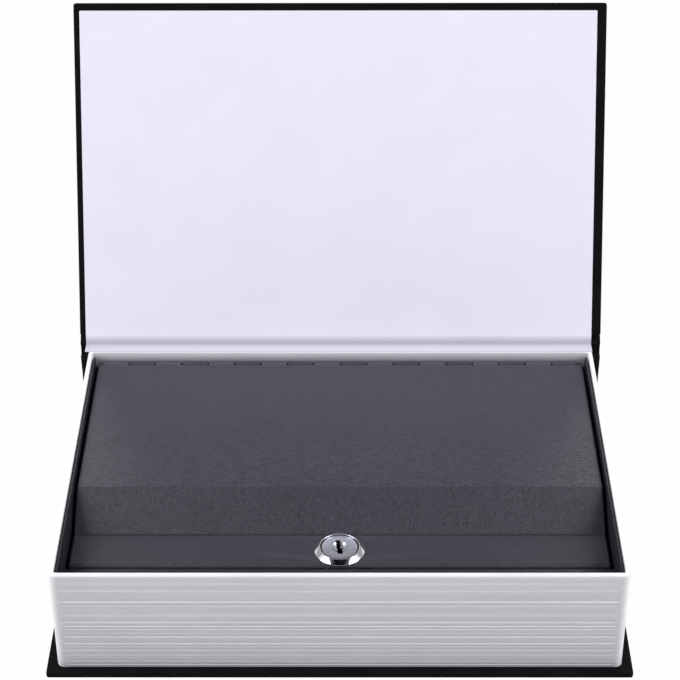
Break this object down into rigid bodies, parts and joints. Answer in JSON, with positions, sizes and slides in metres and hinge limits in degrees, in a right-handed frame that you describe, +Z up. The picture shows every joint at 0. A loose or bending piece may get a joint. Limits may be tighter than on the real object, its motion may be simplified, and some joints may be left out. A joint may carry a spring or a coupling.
{
  "type": "book diversion safe",
  "caption": "Hardcover book that opens on a moulded page block holding a dark steel box with a hinged lid and a keyed cam lock",
  "frame": {"origin": "centre of the underside of the back cover, on the surface the book lies on", "axes": "+X along the spine to the right as the reader opens the book, +Y towards the spine, +Z up through the pages"},
  "size_m": [0.24, 0.2337, 0.1923],
  "materials": {
    "greyboard": "raw pressed board, hidden in the covers",
    "leatherette": "black book cloth with a fine grain",
    "endpaper": "plain smooth white paper",
    "white_plastic": "satin moulded plastic with ribbed page edges",
    "powder_coat": "fine textured powder coat",
    "zinc_steel": "bright zinc plating",
    "chrome": "polished chrome plating",
    "satin_chrome": "satin nickel face",
    "brass": "stamped brass"
  },
  "bodies": {
    "book": {"back_board": "greyboard", "back_cover_wrap": "leatherette", "spine_board": "greyboard", "spine_wrap": "leatherette", "page_block": "white_plastic", "steel_box": "powder_coat", "box_hinge_leaf": "powder_coat", "hinge_pin": "zinc_steel", "box_rivet_1": "zinc_steel", "box_rivet_2": "zinc_steel", "box_rivet_3": "zinc_steel", "box_rivet_4": "zinc_steel"},
    "front_cover": {"front_board": "greyboard", "front_cover_wrap": "leatherette", "front_endpaper": "endpaper", "cover_joint_cloth": "leatherette", "cover_joint_paper": "endpaper"},
    "lid": {"lid_panel": "powder_coat", "lock_housing": "chrome", "lock_washer": "zinc_steel", "lock_nut": "zinc_steel"},
    "lock_core": {"lock_plug": "satin_chrome", "cam_stop_washer": "zinc_steel", "lock_cam": "zinc_steel", "cam_screw": "zinc_steel"},
    "wafer_1": {"lock_wafer_1": "brass"},
    "wafer_2": {"lock_wafer_2": "brass"},
    "wafer_3": {"lock_wafer_3": "brass"},
    "wafer_4": {"lock_wafer_4": "brass"},
    "wafer_5": {"lock_wafer_5": "brass"}
  },
  "joints": [
    {"name": "cover_hinge", "type": "hinge", "parent": "book", "child": "front_cover", "pos_m": [0, 0.0769, 0.0494], "axis": [-1, 0, 0], "range_deg": [-115.6, 50], "deforming": ["cover_joint_cloth", "cover_joint_paper"]},
    {"name": "lid_hinge", "type": "hinge", "parent": "book", "child": "lid", "pos_m": [0, 0.07315, 0.0469], "axis": [-1, 0, 0], "range_deg": [0, 95]},
    {"name": "lock_turn", "type": "hinge", "parent": "lid", "child": "lock_core", "pos_m": [0, -0.0476, 0.0386], "axis": [0, 0, 1], "range_deg": [0, 90]},
    {"name": "wafer_slide_1", "type": "slide", "parent": "lock_core", "child": "wafer_1", "axis": [0, 1, 0], "range_m": [0, 0.0008]},
    {"name": "wafer_slide_2", "type": "slide", "parent": "lock_core", "child": "wafer_2", "axis": [0, -1, 0], "range_m": [0, 0.0008]},
    {"name": "wafer_slide_3", "type": "slide", "parent": "lock_core", "child": "wafer_3", "axis": [0, 1, 0], "range_m": [0, 0.0008]},
    {"name": "wafer_slide_4", "type": "slide", "parent": "lock_core", "child": "wafer_4", "axis": [0, -1, 0], "range_m": [0, 0.0008]},
    {"name": "wafer_slide_5", "type": "slide", "parent": "lock_core", "child": "wafer_5", "axis": [0, 1, 0], "range_m": [0, 0.0008]}
  ]
}
